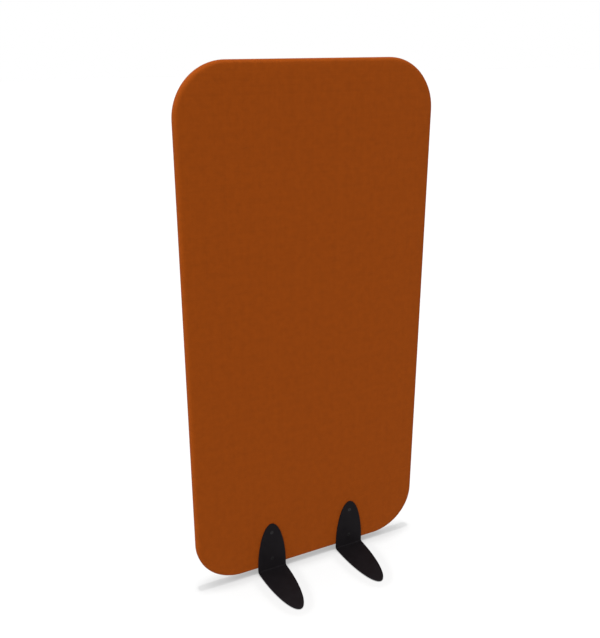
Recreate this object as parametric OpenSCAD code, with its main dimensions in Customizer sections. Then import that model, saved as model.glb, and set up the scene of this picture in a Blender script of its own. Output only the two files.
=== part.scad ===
// Free-standing acoustic divider screen: an upholstered panel with rounded corners on two pairs
// of bent steel feet. Millimetres. X runs along the panel, the front faces -Y and the floor is z = 0.

/* [Panel] */
// Width of the upholstered panel
panel_w = 800; // [720:10:1200]
// Height of the upholstered panel
panel_h = 1600; // [1000:10:1800]
// Thickness of the upholstered panel over the fabric
panel_t = 30; // [26:1:40]
// Radius of the panel's four corners
corner_r = 150; // [110:5:190]
// Radius of the soft rim between a face and the edge
rim_r = 12; // [8:0.5:13]
// Height of the panel's bottom edge above the floor
floor_gap = 15; // [12:1:40]

/* [Upholstery] */
// Thickness of the woven fabric cover
cover_t = 1; // [0.6:0.1:1.5]
// Thickness of the wadding under the cover
wadding_t = 4; // [3:0.5:6]

/* [Frame] */
// Width of the frame's stiles, rails and corner blocks
member_w = 45; // [40:1:60]
// Width of the plywood block behind a foot
foot_block_w = 110; // [80:2:130]
// Wood left above the upper screw in that block
foot_block_margin = 33; // [15:1:60]
// Radius of that block's upper corners
foot_block_r = 10; // [4:1:20]
// Gap between the absorber and the frame round it
absorber_gap = 0.3; // [0.1:0.1:1]

/* [Dowels] */
// Diameter of a dowel
dowel_d = 8; // [6:1:10]
// Length of a dowel
dowel_l = 40; // [24:2:50]
// Distance between the two dowels of a frame joint
dowel_pitch = 22; // [14:1:26]
// Distance between the two dowels under a foot block
block_dowel_pitch = 70; // [40:2:80]
// Radial clearance of a dowel in its hole
dowel_fit = 0.05; // [0.02:0.01:0.1]
// Depth that a dowel hole has to spare at its end
dowel_relief = 1; // [0.5:0.5:3]

/* [Feet] */
// Distance between the centres of the two feet on a side
foot_spacing = 292; // [180:2:380]
// Width of a foot at its bend
foot_w = 100; // [60:2:120]
// Height of a foot's upright tongue above the floor
foot_h = 180; // [170:1:260]
// Reach of a foot's floor tongue from the panel's face
foot_l = 215; // [150:5:300]
// Thickness of the steel plate
plate_t = 4; // [3.5:0.5:6]
// Inner radius of the bend
bend_r = 4; // [3:0.5:10]
// Thickness of the rubber sole
sole_t = 2; // [1:0.5:4]
// Distance of the sole's edge inside the plate's edge
sole_inset = 5; // [3:1:15]

/* [Fasteners] */
// Thread diameter of a foot screw
screw_d = 6; // [5:0.5:7]
// Overall length of a foot screw
screw_l = 14; // [9:1:16]
// Head diameter of a foot screw
head_d = 12; // [10:0.5:12]
// Width across the flats of the screw's hexagon socket
socket_af = 4; // [3:0.5:5]
// Depth of that socket
socket_depth = 2.4; // [1.5:0.1:3]
// Length of the screw's tapered tip
tip_l = 1; // [0.5:0.5:2]
// Height of the lower screw above the panel's bottom edge
screw_edge = 32; // [22:1:38]
// Distance between a foot's two screws
screw_pitch = 100; // [60:1:110]
// Radial clearance of a screw in the plate
screw_clearance = 0.3; // [0.1:0.1:0.5]
// Clearance of a screw head's rim in its countersink
head_clearance = 0.15; // [0.05:0.05:0.3]
// Outer diameter of the threaded bush through the panel
bush_d = 12; // [10:1:15]
// Radial clearance of a screw's thread in its bush
thread_clearance = 0.05; // [0.02:0.01:0.1]
// Radial clearance of a bush in the wood
bush_fit = 0.05; // [0.02:0.01:0.1]
// Radial clearance of a bush in the fabric and wadding
soft_hole_clearance = 0.3; // [0.1:0.1:1]

/* [Hidden] */
$fn = 96;

overrun = 1;                                 // how far a cut runs past the face that it opens
skin_t = cover_t + wadding_t;                // fabric and wadding on one side of the frame
frame_t = panel_t - 2 * skin_t;
half_w = panel_w / 2 - corner_r;             // corner centres, from the panel's middle
half_h = panel_h / 2 - corner_r;
frame_out = corner_r - skin_t;               // the frame's outer edge, from a corner's centre
frame_in = frame_out - member_w;             // and its inner edge
frame_mid = frame_out - member_w / 2;
rail_top = skin_t + member_w;                // the bottom rail's upper edge, in the panel's plane
screw_ys = [screw_edge, screw_edge + screw_pitch];
block_top = screw_edge + screw_pitch + foot_block_margin;
bend_out = bend_r + plate_t;
hole_r = screw_d / 2 + screw_clearance;
countersink_r = head_d / 2 + head_clearance;
head_depth = (head_d - screw_d) / 2;         // a 90 degree head
corner_signs = [[1, 1], [-1, 1], [-1, -1], [1, -1]];

// Places

// From the panel's own plane (X across, Y up from its bottom edge, Z to the front) to where it stands
module standing() {
  translate([0, 0, floor_gap]) rotate([90, 0, 0]) children();
}

// A profile (X outwards from a corner's centre, Y through the thickness) swept along side 0 to 3,
// which are right, top, left and bottom
module panel_side(k) {
  even = k % 2 == 0;
  translate([cos(90 * k) * half_w, panel_h / 2 + sin(90 * k) * half_h, 0])
    rotate(90 * k)
      rotate([90, 0, 0])
        linear_extrude(even ? 2 * half_h : 2 * half_w, center = true) children();
}

// The centre of corner 0 to 3, anticlockwise from the top right, turned so that X points along side k
module at_corner(k) {
  translate([corner_signs[k][0] * half_w, panel_h / 2 + corner_signs[k][1] * half_h, 0])
    rotate(90 * k) children();
}

module panel_corner(k) {
  at_corner(k) rotate_extrude(angle = 90) children();
}

// A foot's place on the floor: side -1 is left and 1 is right, and a rear foot faces the other way
module foot_place(side, rear = false) {
  translate([side * foot_spacing / 2, 0, 0]) rotate(rear ? 180 : 0) children();
}

// The panel's face behind a foot's screws, with Z pointing out of the panel
module at_screws() {
  for (y = screw_ys)
    translate([0, -panel_t / 2, floor_gap + y]) rotate([90, 0, 0]) children();
}

// Profiles

// Front half of the panel's section, a layer's depth inside the surface
module half_section(inset) {
  reach = corner_r - inset;
  depth = panel_t / 2 - inset;
  r = rim_r - inset;
  square([reach - r, depth]);
  square([reach, depth - r]);
  translate([reach - r, depth - r])
    intersection() {
      circle(r);
      square(r);
    }
}

// Section of one layer of the upholstery, from the depth of its outer face to that of its inner face
module layer_section(outer, inner) {
  difference() {
    half_section(outer);
    half_section(inner);
  }
}

// Section of a frame member, with both outer arrises rounded to carry the soft rim
module member_section() {
  for (m = [0, 1])
    mirror([0, m])
      difference() {
        half_section(skin_t);
        square([frame_in, frame_t / 2]);
      }
}

// The space inside the frame between two heights
module frame_opening(low, high) {
  intersection() {
    union() {
      for (s = corner_signs)
        translate([s[0] * half_w, panel_h / 2 + s[1] * half_h]) circle(frame_in - absorber_gap);
      translate([-half_w, rail_top + absorber_gap])
        square([2 * half_w, panel_h - 2 * (rail_top + absorber_gap)]);
      translate([-half_w - frame_in + absorber_gap, corner_r])
        square([2 * (half_w + frame_in - absorber_gap), 2 * half_h]);
    }
    translate([-panel_w / 2, low]) square([panel_w, high - low]);
  }
}

module foot_block_outline(gap = 0) {
  w = foot_block_w + 2 * gap;
  h = block_top - rail_top + gap;
  translate([-w / 2, rail_top]) square([w, h - foot_block_r]);
  translate([-w / 2 + foot_block_r, rail_top]) square([w - 2 * foot_block_r, h]);
  for (side = [-1, 1])
    translate([side * (w / 2 - foot_block_r), rail_top + h - foot_block_r]) circle(foot_block_r);
}

// Bores

// The two dowels of a joint across Y, or the holes for them
module joint_dowels(pitch, r, length) {
  for (side = [-1, 1])
    translate([side * pitch / 2, 0, 0]) rotate([90, 0, 0]) cylinder(r = r, h = length, center = true);
}

// Every dowel of the frame, in the panel's plane
module dowels(r, length) {
  for (k = [0:3])
    at_corner(k)
      for (turn = [0, 90])
        rotate(turn) translate([frame_mid, 0, 0]) joint_dowels(dowel_pitch, r, length);
  for (side = [-1, 1]) {
    translate([side * (half_w + frame_in), panel_h / 2, 0])
      rotate(90) joint_dowels(dowel_pitch, r, length);
    translate([side * foot_spacing / 2, rail_top, 0]) joint_dowels(block_dowel_pitch, r, length);
  }
}

module dowel_holes() {
  dowels(dowel_d / 2 + dowel_fit, dowel_l + 2 * dowel_relief);
}

// Holes for the threaded bushes, in the panel's plane
module bush_holes(clearance) {
  for (side = [-1, 1], y = screw_ys)
    translate([side * foot_spacing / 2, y, 0])
      cylinder(r = bush_d / 2 + clearance, h = panel_t + 2 * overrun, center = true);
}

// Frame

module stile(side) {
  color("burlywood")
    standing()
      difference() {
        panel_side(side < 0 ? 2 : 0) member_section();
        dowel_holes();
      }
}

module top_rail() {
  color("burlywood")
    standing()
      difference() {
        panel_side(1) member_section();
        dowel_holes();
      }
}

module bottom_rail() {
  color("burlywood")
    standing()
      difference() {
        panel_side(3) member_section();
        dowel_holes();
        bush_holes(bush_fit);
      }
}

module middle_rail() {
  length = 2 * (half_w + frame_in);
  color("burlywood")
    standing()
      difference() {
        translate([0, panel_h / 2, 0]) cube([length, member_w, frame_t], center = true);
        dowel_holes();
      }
}

module corner_block(k) {
  color("tan")
    standing()
      difference() {
        panel_corner(k) member_section();
        dowel_holes();
      }
}

module foot_block(side) {
  color("tan")
    standing()
      difference() {
        translate([side * foot_spacing / 2, 0, 0])
          linear_extrude(frame_t, center = true) foot_block_outline();
        dowel_holes();
        bush_holes(bush_fit);
      }
}

module frame_dowels() {
  color("wheat") standing() dowels(dowel_d / 2, dowel_l);
}

// Filling and upholstery

module upper_absorber() {
  color("lightgrey")
    standing()
      linear_extrude(frame_t, center = true)
        frame_opening(panel_h / 2 + member_w / 2 + absorber_gap, panel_h);
}

module lower_absorber() {
  color("lightgrey")
    standing()
      linear_extrude(frame_t, center = true)
        difference() {
          frame_opening(0, panel_h / 2 - member_w / 2 - absorber_gap);
          for (side = [-1, 1])
            translate([side * foot_spacing / 2, 0]) foot_block_outline(absorber_gap);
        }
}

// One layer over the front half of the panel, wrapped round the rim to the middle of the edge
module front_layer(outer, inner) {
  difference() {
    union() {
      for (k = [0:3]) {
        panel_side(k) layer_section(outer, inner);
        panel_corner(k) layer_section(outer, inner);
      }
      translate([-half_w, corner_r, panel_t / 2 - inner]) cube([2 * half_w, 2 * half_h, inner - outer]);
    }
    bush_holes(soft_hole_clearance);
  }
}

module cover(rear = false) {
  color("#8a4011") rotate(rear ? 180 : 0) standing() front_layer(0, cover_t);
}

module wadding(rear = false) {
  color("ivory") rotate(rear ? 180 : 0) standing() front_layer(cover_t, skin_t);
}

// Feet

// Flat sheet cut to a long half oval, from the bend to a foot's tip
module tongue(width, length, thickness) {
  linear_extrude(thickness)
    intersection() {
      translate([-width / 2, 0]) square([width, length]);
      scale([width / 2, length]) circle(1);
    }
}

// Plate bent to an L, its upright against the panel's face, with a countersunk hole for each screw
module foot(side, rear = false) {
  color("#201c1d")
    foot_place(side, rear)
      difference() {
        translate([0, -panel_t / 2, sole_t]) {
          translate([0, 0, bend_out])
            rotate([90, 0, 0]) tongue(foot_w, foot_h - sole_t - bend_out, plate_t);
          translate([0, -bend_out, 0])
            mirror([0, 1, 0]) tongue(foot_w, foot_l - bend_out, plate_t);
          translate([0, -bend_out, bend_out])
            rotate([90, 0, 90])
              rotate(-90)
                rotate_extrude(angle = 90)
                  translate([bend_r, -foot_w / 2]) square([plate_t, foot_w]);
        }
        at_screws() countersunk_hole();
      }
}

module countersunk_hole() {
  depth = countersink_r - hole_r;
  translate([0, 0, -overrun]) cylinder(r = hole_r, h = plate_t + 2 * overrun);
  translate([0, 0, plate_t - depth]) cylinder(r1 = hole_r, r2 = countersink_r, h = depth);
  translate([0, 0, plate_t]) cylinder(r = countersink_r, h = overrun);
}

// Rubber sole under the floor tongue
module sole(side, rear = false) {
  color("dimgray")
    foot_place(side, rear)
      translate([0, -panel_t / 2 - bend_out, 0])
        mirror([0, 1, 0])
          tongue(foot_w - 2 * sole_inset, foot_l - bend_out - sole_inset, sole_t);
}

// Fasteners

module screws(rear = false) {
  color("#2e2c2e")
    for (side = [-1, 1])
      foot_place(side, rear) at_screws() countersunk_screw();
}

// Countersunk machine screw with its head level with the plate's face
module countersunk_screw() {
  r = screw_d / 2;
  tip_z = plate_t - screw_l;
  difference() {
    union() {
      translate([0, 0, tip_z]) cylinder(r1 = r - tip_l / 2, r2 = r, h = tip_l);
      translate([0, 0, tip_z + tip_l]) cylinder(r = r, h = screw_l - head_depth - tip_l);
      translate([0, 0, plate_t - head_depth]) cylinder(r1 = r, r2 = head_d / 2, h = head_depth);
    }
    translate([0, 0, plate_t - socket_depth])
      cylinder(r = socket_af / sqrt(3), h = socket_depth + overrun, $fn = 6);
  }
}

// Bush from face to face of the panel, so that the feet clamp on metal and don't crush the wadding
module threaded_bushes() {
  color("silver")
    standing()
      for (side = [-1, 1], y = screw_ys)
        translate([side * foot_spacing / 2, y, 0])
          difference() {
            cylinder(d = bush_d, h = panel_t, center = true);
            cylinder(r = screw_d / 2 + thread_clearance, h = panel_t + 2 * overrun, center = true);
          }
}

stile(-1);  // left_stile
stile(1);  // right_stile
top_rail();
middle_rail();
bottom_rail();
corner_block(0);  // top_right_corner_block
corner_block(1);  // top_left_corner_block
corner_block(2);  // bottom_left_corner_block
corner_block(3);  // bottom_right_corner_block
foot_block(-1);  // left_foot_block
foot_block(1);  // right_foot_block
frame_dowels();
upper_absorber();
lower_absorber();
wadding();  // front_wadding
wadding(rear = true);  // rear_wadding
cover();  // front_cover
cover(rear = true);  // rear_cover
threaded_bushes();
foot(-1);  // front_left_foot
foot(1);  // front_right_foot
foot(-1, rear = true);  // rear_left_foot
foot(1, rear = true);  // rear_right_foot
sole(-1);  // front_left_sole
sole(1);  // front_right_sole
sole(-1, rear = true);  // rear_left_sole
sole(1, rear = true);  // rear_right_sole
screws();  // front_screws
screws(rear = true);  // rear_screws
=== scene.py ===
import bmesh
import bpy
import math
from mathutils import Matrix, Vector


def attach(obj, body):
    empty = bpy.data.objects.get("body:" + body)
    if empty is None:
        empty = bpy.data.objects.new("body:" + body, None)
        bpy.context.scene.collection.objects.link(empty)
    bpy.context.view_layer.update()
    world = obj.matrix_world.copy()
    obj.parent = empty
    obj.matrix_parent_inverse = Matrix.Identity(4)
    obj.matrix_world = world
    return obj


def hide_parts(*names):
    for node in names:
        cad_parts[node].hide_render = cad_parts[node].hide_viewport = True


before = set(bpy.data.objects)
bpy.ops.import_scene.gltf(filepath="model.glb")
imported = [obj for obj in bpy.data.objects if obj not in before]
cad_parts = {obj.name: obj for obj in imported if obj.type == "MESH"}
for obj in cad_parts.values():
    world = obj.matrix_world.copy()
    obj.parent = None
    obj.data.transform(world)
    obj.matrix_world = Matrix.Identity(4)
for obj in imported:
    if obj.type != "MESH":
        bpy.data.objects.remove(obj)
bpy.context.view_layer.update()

# sizes in metres that several pieces share
shared = {
    "half": 0.015,  # half the panel's thickness
    "plate": 0.004,
    "foldCentre": (-0.023, 0.010),  # of a foot's fold, along Y and Z
    "footX": 0.146,
    "footHalf": 0.05,
    "footTall": 0.17,
    "screwHeights": (0.047, 0.147),
    "ovalSides": 192,
    "ovalMerge": 2e-5,
}
quarter = math.pi / 2
tiny = 1e-6  # points closer than this are one
hair = 1e-5  # how near a place counts as met


# small helpers, to work as by hand
def startPiece():
    # nothing selected, so that an operator only acts on the new piece
    if bpy.context.object and bpy.context.object.mode != "OBJECT":
        bpy.ops.object.mode_set(mode="OBJECT")
    bpy.ops.object.select_all(action="DESELECT")


def choose(obj):
    startPiece()
    obj.select_set(True)
    bpy.context.view_layer.objects.active = obj


def editing(obj):
    choose(obj)
    bpy.ops.object.mode_set(mode="EDIT")
    bpy.ops.mesh.select_all(action="SELECT")


def doneEditing():
    bpy.ops.object.mode_set(mode="OBJECT")


def pick(kind, test):
    # in edit mode: only the verts, edges or faces that pass the test
    bpy.ops.mesh.select_mode(type=kind)
    bpy.ops.mesh.select_all(action="DESELECT")
    mesh = bmesh.from_edit_mesh(bpy.context.object.data)
    for item in {"VERT": mesh.verts, "EDGE": mesh.edges, "FACE": mesh.faces}[kind]:
        if test(item):
            item.select_set(True)
    mesh.select_flush_mode()
    bmesh.update_edit_mesh(bpy.context.object.data)


def extrudeBy(x, y, z):
    bpy.ops.mesh.extrude_region_move(TRANSFORM_OT_translate={"value": (x, y, z)})


def settle(obj, name):
    # the place goes into the mesh, and the object's own point to the origin
    obj.name = obj.data.name = name
    choose(obj)
    bpy.ops.object.transform_apply(location=True, rotation=True, scale=True)
    return obj


def useModifier(obj, kind, **settings):
    choose(obj)
    modifier = obj.modifiers.new(kind.lower(), kind)
    for key, value in settings.items():
        setattr(modifier, key, value)
    bpy.ops.object.modifier_apply(modifier=modifier.name)


def copyOf(obj, name, move=(0, 0, 0), turned=False):
    other = obj.copy()
    other.data = obj.data.copy()
    bpy.context.scene.collection.objects.link(other)
    other.location = move
    if turned:
        other.rotation_euler = (0, 0, math.pi)
    return settle(other, name)


def barCutter(name, sides, radius, depth, place):
    # a bar that lies along Y
    startPiece()
    bpy.ops.mesh.primitive_cylinder_add(
        vertices=sides, radius=radius, depth=depth, location=place, rotation=(quarter, 0, 0)
    )
    return settle(bpy.context.object, name)


def cutWith(obj, cutter):
    useModifier(obj, "BOOLEAN", operation="DIFFERENCE", object=cutter, solver="EXACT")
    bpy.data.objects.remove(cutter)


def smooth(obj, angle):
    choose(obj)
    bpy.ops.object.shade_smooth_by_angle(angle=math.radians(angle))


def pointOutwards(obj):
    editing(obj)
    bpy.ops.mesh.remove_doubles(threshold=tiny)
    bpy.ops.mesh.normals_make_consistent(inside=False)
    doneEditing()


def finishPiece(obj, material, slot, *nodes):
    obj.data.materials.clear()
    obj.data.materials.append(material)
    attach(obj, "root")
    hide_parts(*nodes)


# camera, where the photograph was taken from
cameraView = {
    "place": (-1.0081, -1.9577, 1.6740),
    "pan": 26.456,
    "tilt": 20.257,
    "lens": 43.456,
    "sensor": 36.0,
}


def makeCamera(view):
    data = bpy.data.cameras.new("camera")
    data.sensor_width = view["sensor"]
    data.lens = view["lens"]
    camera = bpy.data.objects.new("camera", data)
    camera.location = view["place"]
    camera.rotation_euler = (math.radians(90 - view["tilt"]), 0, -math.radians(view["pan"]))
    bpy.context.scene.collection.objects.link(camera)
    bpy.context.scene.camera = camera


makeCamera(cameraView)
print("camera placed")


# shader helpers
def addNode(tree, kind, values=None, **settings):
    node = tree.nodes.new(kind)
    for key, value in settings.items():
        setattr(node, key, value)
    for key, value in (values or {}).items():
        feed(tree, node.inputs[key], value)
    return node


def feed(tree, socket, value):
    # a socket takes another node's output, or a plain number or colour
    if isinstance(value, bpy.types.NodeSocket):
        tree.links.new(value, socket)
    else:
        socket.default_value = value


def maths(tree, operation, first, second=0.0, third=None):
    node = addNode(tree, "ShaderNodeMath", {0: first, 1: second}, operation=operation)
    if third is not None:
        feed(tree, node.inputs[2], third)
    return node.outputs[0]


def spread(tree, value, fromLow, fromHigh, toLow, toHigh):
    values = {"Value": value, "From Min": fromLow, "From Max": fromHigh, "To Min": toLow, "To Max": toHigh}
    return addNode(tree, "ShaderNodeMapRange", values).outputs[0]


def swing(tree, value, low, high):
    # a noise's value lies mostly between 0.3 and 0.7
    return spread(tree, value, 0.3, 0.7, low, high)


def blendColours(tree, amount, first, second):
    node = addNode(tree, "ShaderNodeMix", data_type="RGBA")
    feed(tree, node.inputs[0], amount)
    feed(tree, node.inputs[6], first)
    feed(tree, node.inputs[7], second)
    return node.outputs[2]


def dimmed(tree, colour, factor):
    # a colour times a value that changes over the surface
    node = addNode(tree, "ShaderNodeVectorMath", {0: colour}, operation="SCALE")
    feed(tree, node.inputs["Scale"], factor)
    return node.outputs[0]


def noise(tree, place, scale, detail=2.0, rough=0.5, dimensions="3D"):
    values = {"Vector": place, "Scale": scale, "Detail": detail, "Roughness": rough}
    return addNode(tree, "ShaderNodeTexNoise", values, noise_dimensions=dimensions).outputs[0]


def mapped(tree, place, **settings):
    # a place that is moved, turned or drawn out: Location, Rotation, Scale
    return addNode(tree, "ShaderNodeMapping", {"Vector": place, **settings}).outputs[0]


def objectPlace(tree, turn=(0, 0, 0)):
    return mapped(tree, addNode(tree, "ShaderNodeTexCoord").outputs["Object"], Rotation=turn)


def newGroup(name, inputs, outputs):
    group = bpy.data.node_groups.new(name, "ShaderNodeTree")
    for label, kind, value in inputs:
        socket = group.interface.new_socket(label, in_out="INPUT", socket_type="NodeSocket" + kind)
        if value is not None:
            socket.default_value = value
    for label in outputs:
        group.interface.new_socket(label, in_out="OUTPUT", socket_type="NodeSocketFloat")
    return group, group.nodes.new("NodeGroupInput").outputs, group.nodes.new("NodeGroupOutput").inputs


def useGroup(tree, group, **values):
    node = tree.nodes.new("ShaderNodeGroup")
    node.node_tree = group
    for key, value in values.items():
        feed(tree, node.inputs[key], value)
    return node.outputs


def newMaterial(name, look, **plain):
    # gives the material, its tree and its shader; plain values stand on the shader's own sockets
    material = bpy.data.materials.new(name)
    material.use_nodes = True
    shader = material.node_tree.nodes["Principled BSDF"]
    shader.inputs["Roughness"].default_value = look["rough"]
    shader.inputs["Specular IOR Level"].default_value = look["specular"]
    for key, value in plain.items():
        shader.inputs[key.replace("_", " ")].default_value = value
    return material, material.node_tree, shader


def addRelief(tree, shader, height, distance, strength):
    bump = addNode(tree, "ShaderNodeBump", {"Height": height, "Distance": distance, "Strength": strength})
    tree.links.new(bump.outputs[0], shader.inputs["Normal"])


# shared effects, each a node group that is built once
weaveShape = {"bow": 0.45, "slubDraw": 0.05, "weftShift": (7, 3, 0), "ownShare": 0.5}
grainShape = {
    "ringDraw": 0.06,
    "waves": {"scale": 16.0, "detail": 2.0},
    "waveDepth": 0.05,
    "slant": 0.7,
    "lateCurve": 3.0,
    "ringEnd": 0.93,
    "poreDraw": 0.03,
    "fibres": {"scale": 1400.0, "detail": 2.0},
    "poreBetween": (0.58, 0.72),
}


def weaveGroup(shape):
    # plain weave: Place in metres, Pitch from yarn to yarn; each yarn has its own tone and its slubs
    inputs = [("Place", "Vector", None), ("Pitch", "Float", 0.001)]
    group, given, out = newGroup("weave", inputs, ["Height", "Tone"])
    split = addNode(group, "ShaderNodeSeparateXYZ", {0: given["Place"]}).outputs
    u = maths(group, "DIVIDE", split[0], given["Pitch"])
    v = maths(group, "DIVIDE", split[1], given["Pitch"])
    column, row = maths(group, "FLOOR", u), maths(group, "FLOOR", v)
    across = maths(group, "SINE", maths(group, "MULTIPLY", maths(group, "FRACT", u), math.pi))
    along = maths(group, "SINE", maths(group, "MULTIPLY", maths(group, "FRACT", v), math.pi))
    under = maths(group, "FLOORED_MODULO", maths(group, "ADD", column, row), 2.0)
    bow, level = shape["bow"], 1 - shape["bow"]
    warp = maths(group, "MULTIPLY", across, maths(group, "MULTIPLY_ADD", along, bow, level))
    weft = maths(group, "MULTIPLY", along, maths(group, "MULTIPLY_ADD", across, bow, level))
    cells = addNode(group, "ShaderNodeCombineXYZ", {0: u, 1: v}).outputs[0]
    draw, share = shape["slubDraw"], shape["ownShare"]
    tones = []
    for line, scale, shift in ((column, (1, draw, 1), (0, 0, 0)), (row, (draw, 1, 1), shape["weftShift"])):
        own = addNode(group, "ShaderNodeTexWhiteNoise", {"W": line}, noise_dimensions="1D").outputs[0]
        if line is row:
            own = maths(group, "SUBTRACT", 1.0, own)  # or a row would match the column of its number
        drawn = mapped(group, cells, Scale=scale, Location=shift)
        slub = noise(group, drawn, 1.0, detail=1.0, dimensions="2D")
        tones.append(maths(group, "MULTIPLY_ADD", own, share, maths(group, "MULTIPLY", slub, 1 - share)))
    group.links.new(spread(group, under, 0, 1, warp, weft), out["Height"])
    group.links.new(spread(group, under, 0, 1, *tones), out["Tone"])
    return group


def grainGroup(shape):
    # wood sawn along X: Rings run with the grain, Pores are its short dark lines
    inputs = [("Place", "Vector", None), ("Ring", "Float", 0.004), ("Seed", "Float", 0.0)]
    group, given, out = newGroup("woodGrain", inputs, ["Rings", "Pores"])
    shift = addNode(group, "ShaderNodeCombineXYZ", {0: given["Seed"], 1: given["Seed"]}).outputs[0]
    moved = addNode(group, "ShaderNodeVectorMath", {0: given["Place"], 1: shift}, operation="ADD").outputs[0]
    waves = noise(group, mapped(group, moved, Scale=(shape["ringDraw"], 1, 1)), **shape["waves"])
    split = addNode(group, "ShaderNodeSeparateXYZ", {0: moved}).outputs
    depth = maths(group, "MULTIPLY_ADD", split[1], shape["slant"], split[2])
    depth = maths(group, "MULTIPLY_ADD", waves, shape["waveDepth"], depth)
    turns = maths(group, "FRACT", maths(group, "DIVIDE", depth, given["Ring"]))
    late = maths(group, "POWER", turns, shape["lateCurve"])
    end = spread(group, turns, shape["ringEnd"], 1.0, 1.0, 0.0)
    group.links.new(maths(group, "MULTIPLY", late, end), out["Rings"])
    fibres = noise(group, mapped(group, moved, Scale=(shape["poreDraw"], 1, 1)), **shape["fibres"])
    group.links.new(spread(group, fibres, *shape["poreBetween"], 0.0, 1.0), out["Pores"])
    return group


def pebbleGroup():
    # fine pebbled coat, with a few softer spots
    inputs = [("Place", "Vector", None), ("Size", "Float", 0.0006)]
    group, given, out = newGroup("pebbled", inputs, ["Height", "Spots"])
    scale = maths(group, "DIVIDE", 1.0, given["Size"])
    group.links.new(noise(group, given["Place"], scale, detail=1.0), out["Height"])
    group.links.new(noise(group, given["Place"], scale=38.0, detail=3.0), out["Spots"])
    return group


weave, woodGrain, pebbled = weaveGroup(weaveShape), grainGroup(grainShape), pebbleGroup()
print("shared effects ready")


# finishes
fabricLook = {
    "colour": (0.2575, 0.0492, 0.0026),
    "pitch": 0.0011,
    "yarnTone": 0.10,
    # how much darker the gaps between yarns are painted than the crowns: painted shade of the weave
    "relief": 0.28,
    "meanHeight": 0.53,
    "mottle": 0.165,
    "drift": {"scale": 50.0, "detail": 5.0, "rough": 0.75, "dimensions": "2D"},
    "fibreTone": 0.08,
    "fibre": {"scale": 2600.0, "detail": 2.0, "rough": 0.6, "dimensions": "2D"},
    "fibreHeight": 0.25,
    "rough": 0.92,
    "roughDeepToTop": (0.97, 0.88),
    "specular": 0.07,
    "sheen": 0.02,
    "sheenRough": 0.5,
    "sheenTint": (1, 0.5, 0.25, 1),
    "bump": 0.00022,
    "bumpStrength": 0.8,
}


def rustFabric(look):
    material, tree, shader = newMaterial(
        "rustFabric", look, Sheen_Weight=look["sheen"], Sheen_Roughness=look["sheenRough"],
        Sheen_Tint=look["sheenTint"]
    )
    place = addNode(tree, "ShaderNodeUVMap", uv_map="cloth").outputs[0]
    cloth = useGroup(tree, weave, Place=place, Pitch=look["pitch"])
    fibre = noise(tree, place, **look["fibre"])
    drift = noise(tree, place, **look["drift"])
    # the colour follows the weave's height: lighter crowns and darker gaps between yarns, a painted shade
    level = 1 - look["meanHeight"] * look["relief"]
    light = maths(tree, "MULTIPLY_ADD", cloth["Height"], look["relief"], level)
    light = maths(tree, "ADD", light, spread(tree, cloth["Tone"], 0, 1, -look["yarnTone"], look["yarnTone"]))
    light = maths(tree, "ADD", light, spread(tree, drift, 0, 1, -look["mottle"], look["mottle"]))
    light = maths(tree, "ADD", light, swing(tree, fibre, -look["fibreTone"], look["fibreTone"]))
    feed(tree, shader.inputs["Base Color"], dimmed(tree, look["colour"], light))
    feed(tree, shader.inputs["Roughness"], spread(tree, cloth["Height"], 0, 1, *look["roughDeepToTop"]))
    height = maths(tree, "MULTIPLY_ADD", fibre, look["fibreHeight"], cloth["Height"])
    addRelief(tree, shader, height, look["bump"], look["bumpStrength"])
    return material


waddingLook = {
    "colour": (0.78, 0.77, 0.73),
    "tufts": {"scale": 260.0, "detail": 6.0, "rough": 0.7},
    "tuftTone": (0.86, 1.02),
    "clouds": {"scale": 22.0, "detail": 3.0},
    "cloudTone": (-0.04, 0.04),
    "rough": 0.95,
    "specular": 0.1,
    "sheen": 0.1,
    "bump": 0.0016,
    "bumpStrength": 0.8,
}


def whiteWadding(look):
    material, tree, shader = newMaterial("whiteWadding", look, Sheen_Weight=look["sheen"])
    place = objectPlace(tree)
    tufts = noise(tree, place, **look["tufts"])
    clouds = swing(tree, noise(tree, place, **look["clouds"]), *look["cloudTone"])
    light = maths(tree, "ADD", swing(tree, tufts, *look["tuftTone"]), clouds)
    feed(tree, shader.inputs["Base Color"], dimmed(tree, look["colour"], light))
    addRelief(tree, shader, tufts, look["bump"], look["bumpStrength"])
    return material


coreLook = {
    "dark": (0.26, 0.26, 0.25, 1),
    "pale": (0.58, 0.58, 0.55, 1),
    "darkToPale": (0.36, 0.64),
    "strandScale": 420.0,
    "strandHeight": 0.5,
    "mat": {"scale": 900.0, "detail": 5.0, "rough": 0.75},
    "matShare": 0.75,
    "clouds": {"scale": 45.0, "detail": 5.0, "rough": 0.7},
    "rough": 0.95,
    "specular": 0.1,
    "bump": 0.0008,
    "bumpStrength": 0.7,
}


def greyFibre(look):
    material, tree, shader = newMaterial("greyFibre", look)
    place = objectPlace(tree)
    values = {"Vector": place, "Scale": look["strandScale"]}
    strands = addNode(tree, "ShaderNodeTexVoronoi", values, feature="DISTANCE_TO_EDGE").outputs[0]
    strands = maths(tree, "MULTIPLY", strands, look["strandHeight"])
    mat = noise(tree, place, **look["mat"])
    clouds = maths(tree, "MULTIPLY", noise(tree, place, **look["clouds"]), 1 - look["matShare"])
    tone = maths(tree, "ADD", maths(tree, "MULTIPLY", mat, look["matShare"]), clouds)
    amount = spread(tree, tone, *look["darkToPale"], 0, 1)
    feed(tree, shader.inputs["Base Color"], blendColours(tree, amount, look["dark"], look["pale"]))
    addRelief(tree, shader, maths(tree, "ADD", mat, strands), look["bump"], look["bumpStrength"])
    return material


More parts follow.
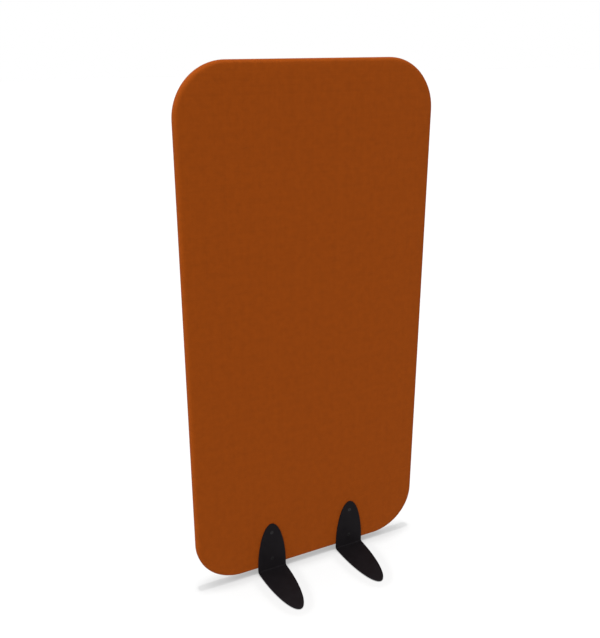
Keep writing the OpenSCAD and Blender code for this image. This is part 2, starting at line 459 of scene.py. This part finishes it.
woodLook = {
    "poreShade": 0.45,
    "clouds": {"scale": 9.0, "detail": 2.0},
    "cloudTone": (0.9, 1.1),
    "rough": 0.6,
    "roughEarlyToLate": (0.65, 0.52),
    "specular": 0.35,
    "ringHeight": 0.4,
    "bump": 0.00012,
    "bumpStrength": 0.6,
}
pineLook = {
    **woodLook,
    "early": (0.66, 0.47, 0.25),
    "late": (0.42, 0.22, 0.085),
    "ring": 0.0045,
    "rings": 0.8,
    "pores": 0.35,
}
beechLook = {
    **woodLook,
    "early": (0.60, 0.38, 0.20),
    "late": (0.46, 0.26, 0.13),
    "ring": 0.002,
    "rings": 0.35,
    "pores": 0.5,
}


def wood(name, look, turn, seed):
    material, tree, shader = newMaterial(name, look)
    place = objectPlace(tree, turn)
    grain = useGroup(tree, woodGrain, Place=place, Ring=look["ring"], Seed=seed)
    rings = maths(tree, "MULTIPLY", grain["Rings"], look["rings"])
    pores = maths(tree, "MULTIPLY", grain["Pores"], look["pores"])
    colour = blendColours(tree, rings, look["early"] + (1,), look["late"] + (1,))
    dark = tuple(look["poreShade"] * c for c in look["late"]) + (1,)
    tinted = addNode(tree, "ShaderNodeHueSaturation", {"Color": blendColours(tree, pores, colour, dark)})
    clouds = noise(tree, place, **look["clouds"])
    feed(tree, tinted.inputs["Value"], swing(tree, clouds, *look["cloudTone"]))
    feed(tree, shader.inputs["Base Color"], tinted.outputs[0])
    feed(tree, shader.inputs["Roughness"], spread(tree, grain["Rings"], 0, 1, *look["roughEarlyToLate"]))
    relief = maths(tree, "MULTIPLY", grain["Rings"], look["ringHeight"])
    relief = maths(tree, "SUBTRACT", relief, grain["Pores"])
    addRelief(tree, shader, relief, look["bump"], look["bumpStrength"])
    return material


plyLook = {
    "plies": 7,
    "thick": 0.02,
    "pale": (0.60, 0.44, 0.25, 1),
    "late": (0.50, 0.33, 0.17, 1),
    "deep": (0.36, 0.21, 0.09, 1),
    "poreDark": (0.25, 0.14, 0.06, 1),
    "glueDark": (0.12, 0.06, 0.03, 1),
    "glueEdge": (0.44, 0.48),
    "ring": 0.006,
    "seed": 0.3,
    "rings": 0.5,
    "pores": 0.25,
    "end": {"scale": 1500.0, "detail": 3.0, "rough": 0.6},
    "endBetween": (0.35, 0.65),
    "faceBetween": (0.8, 0.95),
    "rough": 0.6,
    "specular": 0.35,
    "bump": 0.00008,
    "bumpStrength": 0.6,
}


def birchPly(look):
    # its faces show long grain, its edges the plies, which lie square to Y
    material, tree, shader = newMaterial("birchPly", look)
    place = objectPlace(tree)
    split = addNode(tree, "ShaderNodeSeparateXYZ", {0: place}).outputs
    layer = maths(tree, "DIVIDE", split[1], look["thick"] / look["plies"])
    layer = maths(tree, "ADD", layer, 0.5)
    crossed = maths(tree, "FLOORED_MODULO", maths(tree, "FLOOR", layer), 2.0)
    glue = maths(tree, "ABSOLUTE", maths(tree, "SUBTRACT", maths(tree, "FRACT", layer), 0.5))
    glue = spread(tree, glue, *look["glueEdge"], 0.0, 1.0)
    long = useGroup(
        tree, woodGrain, Place=objectPlace(tree, (0, quarter, 0)), Ring=look["ring"], Seed=look["seed"]
    )
    rings = maths(tree, "MULTIPLY", long["Rings"], look["rings"])
    pores = maths(tree, "MULTIPLY", long["Pores"], look["pores"])
    figure = blendColours(tree, rings, look["pale"], look["late"])
    figure = blendColours(tree, pores, figure, look["poreDark"])
    end = noise(tree, place, **look["end"])
    cut = blendColours(tree, spread(tree, end, *look["endBetween"], 0, 1), look["deep"], look["late"])
    edge = blendColours(tree, crossed, figure, cut)
    edge = blendColours(tree, glue, edge, look["glueDark"])
    normal = addNode(tree, "ShaderNodeNewGeometry").outputs["True Normal"]
    facing = addNode(tree, "ShaderNodeSeparateXYZ", {0: normal}).outputs
    onFace = spread(tree, maths(tree, "ABSOLUTE", facing[1]), *look["faceBetween"], 0, 1)
    feed(tree, shader.inputs["Base Color"], blendColours(tree, onFace, edge, figure))
    addRelief(tree, shader, maths(tree, "SUBTRACT", end, long["Pores"]), look["bump"], look["bumpStrength"])
    return material


# one pebbled black for the powder coat, the rubber and the blackened steel, which differ in a few values
pebbleLook = {
    "grainTone": (0.88, 1.12),
    "spotTone": (-0.1, 0.1),
    "spotRough": (-0.06, 0.08),
    "bumpStrength": 0.8,
}
coatLook = {
    "colour": (0.0090, 0.0077, 0.0087),
    "grain": 0.0007,
    "rough": 0.5,
    "specular": 0.03,
    "bump": 0.00004,
}
rubberLook = {
    "colour": (0.0085, 0.0085, 0.0085),
    "grain": 0.0011,
    "rough": 0.82,
    "specular": 0.2,
    "bump": 0.00006,
}
steelLook = {
    "colour": (0.011, 0.0105, 0.011),
    "grain": 0.0004,
    "rough": 0.42,
    "specular": 0.2,
    "bump": 0.00002,
}


def blackCoat(name, look, pebbles):
    material, tree, shader = newMaterial(name, look)
    coat = useGroup(tree, pebbled, Place=objectPlace(tree), Size=look["grain"])
    spots = swing(tree, coat["Spots"], *pebbles["spotTone"])
    tone = maths(tree, "ADD", swing(tree, coat["Height"], *pebbles["grainTone"]), spots)
    feed(tree, shader.inputs["Base Color"], dimmed(tree, look["colour"], tone))
    smoother, rougher = (look["rough"] + step for step in pebbles["spotRough"])
    feed(tree, shader.inputs["Roughness"], swing(tree, coat["Spots"], smoother, rougher))
    addRelief(tree, shader, coat["Height"], look["bump"], pebbles["bumpStrength"])
    return material


zincLook = {
    "blue": (0.55, 0.56, 0.57, 1),
    "yellow": (0.64, 0.63, 0.60, 1),
    "blueToYellow": (0.35, 0.65),
    "clouds": {"scale": 180.0, "detail": 3.0},
    "brushDraw": 0.02,
    "brushed": {"scale": 2200.0, "detail": 3.0},
    "rough": 0.32,
    "roughBetween": (0.24, 0.42),
    "specular": 0.5,
    "bump": 0.00003,
    "bumpStrength": 0.6,
}


def zincPlate(look):
    material, tree, shader = newMaterial("zincPlate", look, Metallic=1.0)
    place = objectPlace(tree)
    brushed = noise(tree, mapped(tree, place, Scale=(1, look["brushDraw"], 1)), **look["brushed"])
    clouds = spread(tree, noise(tree, place, **look["clouds"]), *look["blueToYellow"], 0, 1)
    feed(tree, shader.inputs["Base Color"], blendColours(tree, clouds, look["blue"], look["yellow"]))
    feed(tree, shader.inputs["Roughness"], swing(tree, brushed, *look["roughBetween"]))
    addRelief(tree, shader, brushed, look["bump"], look["bumpStrength"])
    return material


rust = rustFabric(fabricLook)
padWhite = whiteWadding(waddingLook)
coreGrey = greyFibre(coreLook)
pineUpright = wood("pineUpright", pineLook, (0, quarter, 0), seed=0.11)
pineAcross = wood("pineAcross", pineLook, (0, 0, 0), seed=0.47)
beechDowel = wood("beechDowel", beechLook, (0, 0, 0), seed=0.2)
ply = birchPly(plyLook)
zinc = zincPlate(zincLook)
coat = blackCoat("blackCoat", coatLook, pebbleLook)
rubber = blackCoat("blackRubber", rubberLook, pebbleLook)
blackSteel = blackCoat("blackSteel", steelLook, pebbleLook)

# the frame inside keeps its shapes and gets its finishes
cadFinishes = {
    pineUpright: ["left_stile", "right_stile"],
    pineAcross: ["top_rail", "middle_rail", "bottom_rail"],
    ply: [
        "top_right_corner_block", "top_left_corner_block", "bottom_left_corner_block",
        "bottom_right_corner_block", "left_foot_block", "right_foot_block"
    ],
    beechDowel: ["frame_dowels"],
    zinc: ["threaded_bushes"],
}
for material, names in cadFinishes.items():
    for name in names:
        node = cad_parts[name]
        node.data.materials.clear()
        node.data.materials.append(material)
print("finishes ready")


# panel: one skin over the front half, from which the fabric and the wadding are made
panel = {
    "width": 0.8,
    "height": 1.6,
    "middle": 0.815,  # above the floor
    "corner": 0.15,
    "rim": 0.012,
    "straight": 0.4,  # an edge longer than this is a straight side
    "cornerSteps": 24,
    "rimSteps": 8,
    "topCuts": 49,
    "sideCuts": (9, 12),  # one after the other, because a cut has a limit
    "fabric": 0.001,
    "seamBack": 0.0013,  # from the middle of the edge, and then three turns forward and in
    "seamTurns": ((0.0007, 0.00014), (0.00035, 0.0002), (0.00019, 0.0002)),
    "wadding": 0.0039,
    "waddingBack": 0.0002,
    "underFabric": 0.00003,
    "smooth": 50,
    "holeRadius": 0.0063,
    "pinLength": 0.03,
    "pinMiddle": -0.02,
    "pinSides": 48,
}


def makeSkin(size):
    half, rim, middle = shared["half"], size["rim"], size["middle"]
    startPiece()
    bpy.ops.mesh.primitive_plane_add(size=1, location=(0, 0, middle), rotation=(quarter, 0, 0))
    skin = bpy.context.object
    skin.scale = (size["width"], size["height"], 1)
    settle(skin, "skin")
    editing(skin)
    bpy.ops.mesh.bevel(offset=size["corner"], segments=size["cornerSteps"], affect="VERTICES")
    firstCuts, secondCuts = size["sideCuts"]
    centre = Vector((0, 0, middle))
    for along, across, cuts in ((0, 2, size["topCuts"]), (2, 0, firstCuts)):
        for side in (1, -1):
            pick("EDGE", lambda e: abs((e.verts[1].co - e.verts[0].co)[along]) > size["straight"]
                 and (e.verts[0].co - centre)[across] * side > 0)
            bpy.ops.mesh.subdivide(number_cuts=cuts)
    for side in (1, -1):
        pick("EDGE", lambda e: all(v.co.x * side > size["width"] / 2 - hair for v in e.verts))
        bpy.ops.mesh.subdivide(number_cuts=secondCuts)
    pick("FACE", lambda f: True)
    extrudeBy(0, rim - half, 0)
    for step in range(size["rimSteps"]):
        a, b = (quarter * (step + k) / size["rimSteps"] for k in (0, 1))
        inwards, forward = rim * (math.cos(a) - math.cos(b)), rim * (math.sin(b) - math.sin(a))
        bpy.ops.mesh.inset(thickness=inwards, depth=forward, use_even_offset=True)
    # the face is one big face so far, and becomes a grid
    pick("FACE", lambda f: len(f.verts) > 4)
    bpy.ops.mesh.delete(type="ONLY_FACE")
    pick("VERT", lambda v: v.is_boundary and v.co.y < hair - half)
    mesh = bmesh.from_edit_mesh(skin.data)
    corner = Vector((-size["width"] / 2, -half, middle - size["height"] / 2))
    mesh.select_history.clear()
    mesh.select_history.add(min((v for v in mesh.verts if v.select), key=lambda v: (v.co - corner).length))
    upright = size["cornerSteps"] + (firstCuts + 1) * (secondCuts + 1)
    bpy.ops.mesh.fill_grid(span=upright, offset=0, use_interp_simple=False)
    doneEditing()
    return skin


def unrollCloth(piece, size):
    # the cloth's flat cut in metres: the face as it is, with the rim laid out round it
    rim, corner = size["rim"], size["corner"]
    rimStart = shared["half"] - rim
    reachX, reachZ = size["width"] / 2 - corner, size["height"] / 2 - corner
    mesh = bmesh.new()
    mesh.from_mesh(piece.data)
    layer = mesh.loops.layers.uv.new("cloth")
    for vert in mesh.verts:
        x, depth, z = vert.co.x, -vert.co.y, vert.co.z - size["middle"]
        base = Vector((max(-reachX, min(reachX, x)), max(-reachZ, min(reachZ, z))))
        out = Vector((x, z)) - base
        beyond = out.length - (corner - rim)
        flat = Vector((x, z))
        if beyond > tiny:
            if depth > rimStart:
                drop = math.atan2(beyond, depth - rimStart) * rim
            else:
                drop = rim * quarter + rimStart - depth
            flat = base + out.normalized() * (corner - rim + drop)
        for loop in vert.link_loops:
            loop[layer].uv = flat
    mesh.to_mesh(piece.data)
    mesh.free()


def turnInSeam(piece, size):
    # the fabric's edge dips into the seam at the middle of the panel's edge
    editing(piece)
    pick("VERT", lambda v: v.is_boundary)
    bpy.ops.transform.translate(value=(0, -size["seamBack"], 0))
    for forward, dip in size["seamTurns"]:
        extrudeBy(0, forward, 0)
        bpy.ops.transform.shrink_fatten(value=-dip)
    doneEditing()


def holeCutter(size):
    # four pins in one, for the bushes that come through
    startPiece()
    pins = []
    for x in (-shared["footX"], shared["footX"]):
        for z in shared["screwHeights"]:
            bpy.ops.mesh.primitive_cylinder_add(
                vertices=size["pinSides"], radius=size["holeRadius"], depth=size["pinLength"],
                location=(x, size["pinMiddle"], z), rotation=(quarter, 0, 0)
            )
            pins.append(bpy.context.object)
    choose(pins[0])
    for pin in pins:
        pin.select_set(True)
    bpy.ops.object.join()
    return settle(bpy.context.object, "cutter")


def thicken(piece, thickness, size):
    useModifier(piece, "SOLIDIFY", thickness=thickness, offset=-1, use_even_offset=True)
    cutWith(piece, holeCutter(size))
    smooth(piece, size["smooth"])


# how far the stretched fabric stands up, and how the feet hold it down
tension = {
    "frames": 20,
    "quality": 4,
    "pressure": 5.0,
    "stiffness": 40,
    "cap": 0.0011,
    "footPress": 0.02,  # how far beside a foot its hold reaches
    "pressed": 0.00005,
}


def besideFoot(x, z):
    # distance of a place on the face from the edge of the nearer upright tongue, negative under it
    wide, tall = shared["footHalf"], shared["footTall"]
    a, b = (abs(x) - shared["footX"]) / wide, max(z - shared["foldCentre"][1], 0) / tall
    ring = math.hypot(a, b)
    steep = math.hypot(a / wide, b / tall) / max(ring, tiny)
    return (ring - 1) / max(steep, tiny)


def inflate(piece, held, hold):
    piece.vertex_groups.new(name="held").add(held, 1.0, "REPLACE")
    cloth = piece.modifiers.new("cloth", "CLOTH")
    cloth.settings.quality = hold["quality"]
    cloth.settings.vertex_group_mass = "held"
    cloth.settings.use_pressure = True
    cloth.settings.uniform_pressure_force = hold["pressure"]
    cloth.settings.effector_weights.gravity = 0
    cloth.settings.tension_stiffness = cloth.settings.compression_stiffness = hold["stiffness"]
    cloth.collision_settings.use_collision = False
    for number in range(1, hold["frames"] + 1):
        bpy.context.scene.frame_set(number)
    choose(piece)
    bpy.ops.object.modifier_apply(modifier="cloth")
    bpy.context.scene.frame_set(1)
    piece.vertex_groups.clear()


def stretchFabric(piece, hold):
    before = [v.co.copy() for v in piece.data.vertices]
    room = {}
    for i, place in enumerate(before):
        if place.y < hair - shared["half"]:
            room[i] = min(1.0, max(0.0, besideFoot(place.x, place.z) / hold["footPress"]))
    held = [i for i in range(len(before)) if not room.get(i)]
    inflate(piece, held, hold)
    for i, free in room.items():
        # the fabric gives way less and less up to the cap, and not at all under a foot
        rise = max(0.0, before[i].y - piece.data.vertices[i].co.y)
        soft = free * free * (3 - 2 * free)
        rise = hold["cap"] * (1 - math.exp(-rise / hold["cap"])) * soft
        piece.data.vertices[i].co = before[i] + Vector((0, -rise if soft else hold["pressed"], 0))


skin = makeSkin(panel)
print("skin modelled,", len(skin.data.polygons), "faces")
stretchFabric(skin, tension)
print("fabric stretched")

padding = copyOf(skin, "frontPadding")
unrollCloth(skin, panel)
turnInSeam(skin, panel)
thicken(skin, panel["fabric"], panel)
frontFabric = settle(skin, "frontFabric")
rearFabric = copyOf(frontFabric, "rearFabric", turned=True)

editing(padding)
pick("VERT", lambda v: v.is_boundary)
bpy.ops.transform.translate(value=(0, -panel["waddingBack"], 0))
bpy.ops.mesh.select_all(action="SELECT")
bpy.ops.transform.shrink_fatten(value=-panel["fabric"] - panel["underFabric"], use_even_offset=True)
doneEditing()
thicken(padding, panel["wadding"], panel)
rearPadding = copyOf(padding, "rearPadding", turned=True)

for piece, node in ((frontFabric, "front_cover"), (rearFabric, "rear_cover")):
    finishPiece(piece, rust, "rust_fabric", node)
for piece, node in ((padding, "front_wadding"), (rearPadding, "rear_wadding")):
    finishPiece(piece, padWhite, "wadding", node)
print("fabric and padding done")


# sound-absorbing cores
core = {
    "voxel": 0.0045,
    "soften": 8,
    "softenBy": 0.5,
    "lumpSize": 0.03,
    "lumpDeep": 0.0005,
    "give": 0.0002,
    "smooth": 60,
}


def makeCore(node, name, make):
    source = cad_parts[node]
    piece = source.copy()
    piece.data = source.data.copy()
    for key in list(piece.keys()):
        del piece[key]
    bpy.context.scene.collection.objects.link(piece)
    settle(piece, name)
    pointOutwards(piece)
    useModifier(piece, "REMESH", mode="VOXEL", voxel_size=make["voxel"])
    useModifier(piece, "SMOOTH", factor=make["softenBy"], iterations=make["soften"])
    lumps = bpy.data.textures.new(name + "Lumps", "CLOUDS")
    lumps.noise_scale = make["lumpSize"]
    useModifier(piece, "DISPLACE", texture=lumps, strength=make["lumpDeep"], mid_level=1.0)
    editing(piece)
    bpy.ops.transform.shrink_fatten(value=-make["give"])
    doneEditing()
    smooth(piece, make["smooth"])
    finishPiece(piece, coreGrey, "absorber_fibre", node)


makeCore("upper_absorber", "upperCore", core)
makeCore("lower_absorber", "lowerCore", core)
print("cores done")


# feet: a long oval of plate folded to an L, with two countersunk holes
foot = {
    "foldSteps": 10,
    "long": 0.207,
    "hole": 0.0033,
    "boreLength": 0.02,
    "countersink": 0.00615,
    "coneSpare": 0.001,  # how far the cone reaches out of the plate
    "holeSides": 64,
    "edge": 0.0005,
    "edgeAngle": 40,
}


def halfOval(centre, rotation, halfWidth, length, keepAbove):
    # the half of an oval sheet that lies beyond its middle
    startPiece()
    bpy.ops.mesh.primitive_circle_add(
        vertices=shared["ovalSides"], radius=1, fill_type="NGON", location=centre, rotation=rotation
    )
    oval = bpy.context.object
    oval.scale = (halfWidth, length, 1)
    settle(oval, "oval")
    editing(oval)
    bpy.ops.mesh.bisect(plane_co=centre, plane_no=keepAbove, clear_inner=True)
    bpy.ops.mesh.select_all(action="SELECT")
    bpy.ops.mesh.remove_doubles(threshold=shared["ovalMerge"])
    doneEditing()
    return oval


def drillPlate(piece, size):
    front = -shared["half"] - shared["plate"]
    spare, deep = size["coneSpare"], size["countersink"] - size["hole"]
    for height in shared["screwHeights"]:
        place = (0, front, height)
        cutWith(piece, barCutter("bore", size["holeSides"], size["hole"], size["boreLength"], place))
        startPiece()
        bpy.ops.mesh.primitive_cone_add(
            vertices=size["holeSides"], radius1=size["hole"], radius2=size["countersink"] + spare,
            depth=deep + spare, location=(0, front + (deep - spare) / 2, height), rotation=(quarter, 0, 0)
        )
        cutWith(piece, settle(bpy.context.object, "countersink"))


def makeFoot(size):
    half, wide, tall = shared["half"], shared["footHalf"], shared["footTall"]
    y, z = shared["foldCentre"]
    piece = halfOval((0, -half, z), (quarter, 0, 0), wide, tall, (0, 0, 1))
    editing(piece)
    pick("EDGE", lambda e: all(v.co.z < z + hair for v in e.verts))
    bpy.ops.mesh.spin(steps=size["foldSteps"], angle=quarter, center=(0, y, z), axis=(1, 0, 0))
    low = min(v.co.z for v in bmesh.from_edit_mesh(piece.data).verts)
    doneEditing()
    floorOval = halfOval((0, y, low), (0, 0, 0), wide, size["long"], (0, -1, 0))
    choose(piece)
    floorOval.select_set(True)
    bpy.ops.object.join()
    pointOutwards(piece)
    # the thickness grows to the front and up, away from the panel and the floor
    editing(piece)
    lowest = min(bmesh.from_edit_mesh(piece.data).faces, key=lambda f: f.calc_center_median().z)
    if lowest.normal.z < 0:
        bpy.ops.mesh.flip_normals()
    doneEditing()
    useModifier(piece, "SOLIDIFY", thickness=shared["plate"], offset=1, use_even_offset=True)
    drillPlate(piece, size)
    useModifier(
        piece, "BEVEL", width=size["edge"], segments=3, limit_method="ANGLE",
        angle_limit=math.radians(size["edgeAngle"]), use_clamp_overlap=True
    )
    smooth(piece, size["edgeAngle"])
    useModifier(piece, "WEIGHTED_NORMAL", keep_sharp=True)
    return piece


def fourOf(piece, ending):
    # one at each foot, under the names of the piece and of the node it stands for
    made = {}
    for depth, turned in (("front", False), ("rear", True)):
        for side, x in (("Left", -shared["footX"]), ("Right", shared["footX"])):
            node = "_".join((depth, side.lower(), ending.lower()))
            made[node] = copyOf(piece, depth + side + ending, (x, 0, 0), turned)
    bpy.data.objects.remove(piece)
    return made


for node, piece in fourOf(makeFoot(foot), "Foot").items():
    finishPiece(piece, coat, "black_powder_coat", node)
print("feet done,", len(piece.data.polygons), "faces each")


# rubber soles
sole = {
    "halfWidth": 0.045,
    "long": 0.202,
    "thick": 0.002,
    "border": 0.003,
    "groove": 0.0005,
    "grooveSlope": 0.0008,
    "grooveFloor": 0.0010,
    "edge": 0.0004,
    "edgeAngle": 50,
    "smooth": 40,
}


def makeSole(size):
    start = shared["foldCentre"][0]
    pad = halfOval((0, start, 0), (0, 0, 0), size["halfWidth"], size["long"], (0, -1, 0))
    pointOutwards(pad)
    editing(pad)
    extrudeBy(0, 0, size["thick"])
    bpy.ops.mesh.select_all(action="SELECT")
    bpy.ops.mesh.normals_make_consistent(inside=False)
    # a shallow groove round the underside lets the rubber grip
    pick("FACE", lambda f: f.normal.z < -0.9)
    bpy.ops.mesh.inset(thickness=size["border"])
    bpy.ops.mesh.inset(thickness=size["grooveSlope"], depth=-size["groove"])
    bpy.ops.mesh.inset(thickness=size["grooveFloor"])
    bpy.ops.mesh.inset(thickness=size["grooveSlope"], depth=size["groove"])
    doneEditing()
    angle = math.radians(size["edgeAngle"])
    useModifier(pad, "BEVEL", width=size["edge"], segments=2, limit_method="ANGLE", angle_limit=angle)
    smooth(pad, size["smooth"])
    return pad


for node, piece in fourOf(makeSole(sole), "Sole").items():
    finishPiece(piece, rubber, "black_rubber", node)
print("soles done")


# countersunk screws, with their threads
screw = {
    "sides": 64,
    "head": 0.006,
    "land": 0.00025,
    "underHead": -0.016,
    "shank": 0.003,
    "shankLength": 0.0012,
    "coreStart": 0.0017,  # below the head, as the shank's length is
    "core": 0.0025,
    "tip": -0.005,
    "tipCut": 0.0006,
    "socket": 0.0023,
    "socketDeep": 0.0024,
    "edge": 0.00012,
    "edgeAngle": 38,
    "pitch": 0.001,
    "threadStart": 0.0021,
    "threadStop": 0.0012,
    "threadSteps": 24,
    "rib": 0.00042,
    "ribMiddle": 0.00268,
    "smooth": 35,
}


def turnScrew(size):
    # turned from rings, each extruded from the last
    front, under, tip = -shared["half"] - shared["plate"], size["underHead"], size["tip"]
    rings = [
        (front + size["land"], size["head"]),
        (front + 2 * size["land"], size["head"]),
        (under, size["shank"]),
        (under + size["shankLength"], size["shank"]),
        (under + size["coreStart"], size["core"]),
        (tip - size["tipCut"], size["core"]),
        (tip, size["core"] - size["tipCut"]),
    ]
    place, radius = front, size["head"] - size["land"]
    startPiece()
    bpy.ops.mesh.primitive_circle_add(
        vertices=size["sides"], radius=radius, fill_type="NGON", location=(0, 0, 0), rotation=(quarter, 0, 0)
    )
    body = settle(bpy.context.object, "screw")
    editing(body)
    bpy.ops.transform.translate(value=(0, front, 0))
    for y, r in rings:
        extrudeBy(0, y - place, 0)
        bpy.ops.transform.resize(value=(r / radius, 1, r / radius), center_override=(0, y, 0))
        place, radius = y, r
    doneEditing()
    pointOutwards(body)
    cutWith(body, barCutter("socket", 6, size["socket"], 2 * size["socketDeep"], (0, front, 0)))
    angle = math.radians(size["edgeAngle"])
    useModifier(body, "BEVEL", width=size["edge"], segments=2, limit_method="ANGLE", angle_limit=angle)
    return body


def windThread(size):
    # a three-sided rib wound round the core
    start, stop = size["underHead"] + size["threadStart"], size["tip"] - size["threadStop"]
    startPiece()
    bpy.ops.mesh.primitive_circle_add(
        vertices=3, radius=size["rib"], fill_type="NOTHING", location=(size["ribMiddle"], start, 0),
        rotation=(0, 0, -quarter)
    )
    thread = settle(bpy.context.object, "thread")
    turns, steps = int((stop - start) / size["pitch"]), size["threadSteps"]
    useModifier(
        thread, "SCREW", axis="Y", angle=2 * math.pi, screw_offset=size["pitch"], iterations=turns,
        steps=steps, render_steps=steps
    )
    editing(thread)
    bpy.ops.mesh.select_all(action="DESELECT")
    bpy.ops.mesh.select_mode(type="EDGE")
    bpy.ops.mesh.select_non_manifold()
    bpy.ops.mesh.fill()
    doneEditing()
    pointOutwards(thread)
    return thread


def makeScrews(size):
    # one screw with its thread, and then the four of one side
    body = turnScrew(size)
    thread = windThread(size)
    choose(body)
    thread.select_set(True)
    bpy.ops.object.join()
    smooth(body, size["smooth"])
    useModifier(body, "WEIGHTED_NORMAL", keep_sharp=True)
    low, high = shared["screwHeights"]
    editing(body)
    bpy.ops.transform.translate(value=(-shared["footX"], 0, low))
    doneEditing()
    for step in ((2 * shared["footX"], 0, 0), (0, 0, high - low)):
        useModifier(
            body, "ARRAY", count=2, use_relative_offset=False, use_constant_offset=True,
            constant_offset_displace=step
        )
    return settle(body, "frontScrews")


frontScrews = makeScrews(screw)
rearScrews = copyOf(frontScrews, "rearScrews", turned=True)
finishPiece(frontScrews, blackSteel, "blackened_steel", "front_screws")
finishPiece(rearScrews, blackSteel, "blackened_steel", "rear_screws")
print("screws done,", len(frontScrews.data.polygons), "faces a side")


# light: the screen's two suns keep off the floor, and the floor's two fall on nothing else
worldStrength = 1.0
suns = {
    "keySun": {"energy": 0.8 * math.pi, "angle": 25, "towards": (0.36, -0.1, -0.93), "floor": "EXCLUDE"},
    "fillSun": {"energy": 0.305 * math.pi, "angle": 30, "towards": (0.6, 0.73, -0.32), "floor": "EXCLUDE"},
    "floorSun": {"energy": 2.41 * math.pi, "angle": 3, "towards": (0, 0, -1), "floor": "INCLUDE"},
    "floorSky": {"energy": 1.16 * math.pi, "angle": 32, "towards": (0, 0, -1), "floor": "INCLUDE"},
}
floorLook = {
    "nearAcross": 1.4,
    "openAcross": 60,
    "openDrop": 0.0005,
    "albedo": 0.1,
    "bounce": 0.58,
    "shadeReach": (0.03, 0.06),
    "shadeRays": 128,
    "closeShade": (0.45, 0.7),
    "haloStart": 0.992,
    "glowClose": 0.39,
    "glowNear": 0.535,
    "glowOpen": 0.61,
}


def makeWorld(strength):
    world = bpy.data.worlds.new("world")
    world.use_nodes = True
    bpy.context.scene.world = world
    world.node_tree.nodes["Background"].inputs["Color"].default_value = (1, 1, 1, 1)
    world.node_tree.nodes["Background"].inputs["Strength"].default_value = strength


def addSun(name, sun, floors):
    data = bpy.data.lights.new(name, "SUN")
    data.energy = sun["energy"]
    data.angle = math.radians(sun["angle"])
    lamp = bpy.data.objects.new(name, data)
    lamp.rotation_euler = Vector(sun["towards"]).to_track_quat("-Z", "Y").to_euler()
    bpy.context.scene.collection.objects.link(lamp)
    group = bpy.data.collections.new(name + "Falls")
    for floor in floors:
        group.objects.link(floor)
    for member in group.collection_objects:
        member.light_linking.link_state = sun["floor"]
    lamp.light_linking.receiver_collection = group


def shadeGlow(tree, look):
    # the shade's reach differs from sample to sample, so it fades out instead of stopping at a line
    place = addNode(tree, "ShaderNodeNewGeometry").outputs["Position"]
    scatter = addNode(tree, "ShaderNodeTexWhiteNoise", {"Vector": place}).outputs["Value"]
    reach = spread(tree, scatter, 0.0, 1.0, *look["shadeReach"])
    near = addNode(tree, "ShaderNodeAmbientOcclusion", {"Distance": reach}, samples=look["shadeRays"])
    close = spread(tree, near.outputs["AO"], *look["closeShade"], look["glowClose"], look["glowNear"])
    rise = look["glowOpen"] - look["glowNear"]
    halo = spread(tree, near.outputs["AO"], look["haloStart"], 1.0, 0.0, rise)
    return maths(tree, "ADD", close, halo)


def makeFloor(name, across, height, look, shaded):
    # seen or mirrored it is white with the object's shade, and its light on the object is a pale grey's
    startPiece()
    bpy.ops.mesh.primitive_plane_add(size=across, location=(0, 0, height))
    floor = bpy.context.object
    floor.name = name
    material = bpy.data.materials.new(name)
    material.use_nodes = True
    tree = material.node_tree
    tree.nodes.clear()
    grey, white = (look["albedo"],) * 3 + (1,), (1, 1, 1, 1)
    glow = shadeGlow(tree, look) if shaded else look["glowOpen"]
    lit = addNode(tree, "ShaderNodeBsdfDiffuse", {"Color": grey})
    glowing = addNode(tree, "ShaderNodeEmission", {"Color": white, "Strength": glow})
    seen = addNode(tree, "ShaderNodeAddShader", {0: lit.outputs[0], 1: glowing.outputs[0]})
    bounce = addNode(tree, "ShaderNodeEmission", {"Color": white, "Strength": look["bounce"]})
    path = addNode(tree, "ShaderNodeLightPath").outputs
    mirrored = maths(tree, "MAXIMUM", path["Is Glossy Ray"], path["Is Transmission Ray"])
    looked = maths(tree, "MAXIMUM", path["Is Camera Ray"], mirrored)
    either = addNode(tree, "ShaderNodeMixShader", {0: looked, 1: bounce.outputs[0], 2: seen.outputs[0]})
    addNode(tree, "ShaderNodeOutputMaterial", {0: either.outputs[0]})
    floor.data.materials.append(material)
    return floor


makeWorld(worldStrength)
# the shade is worked out close to the screen only, and the open floor further off lies a hair lower
floors = [
    makeFloor("floorNear", floorLook["nearAcross"], 0.0, floorLook, shaded=True),
    makeFloor("floorOpen", floorLook["openAcross"], -floorLook["openDrop"], floorLook, shaded=False),
]
for name, sun in suns.items():
    addSun(name, sun, floors)
bpy.context.scene.view_settings.view_transform = "Standard"
print("light and floor ready")
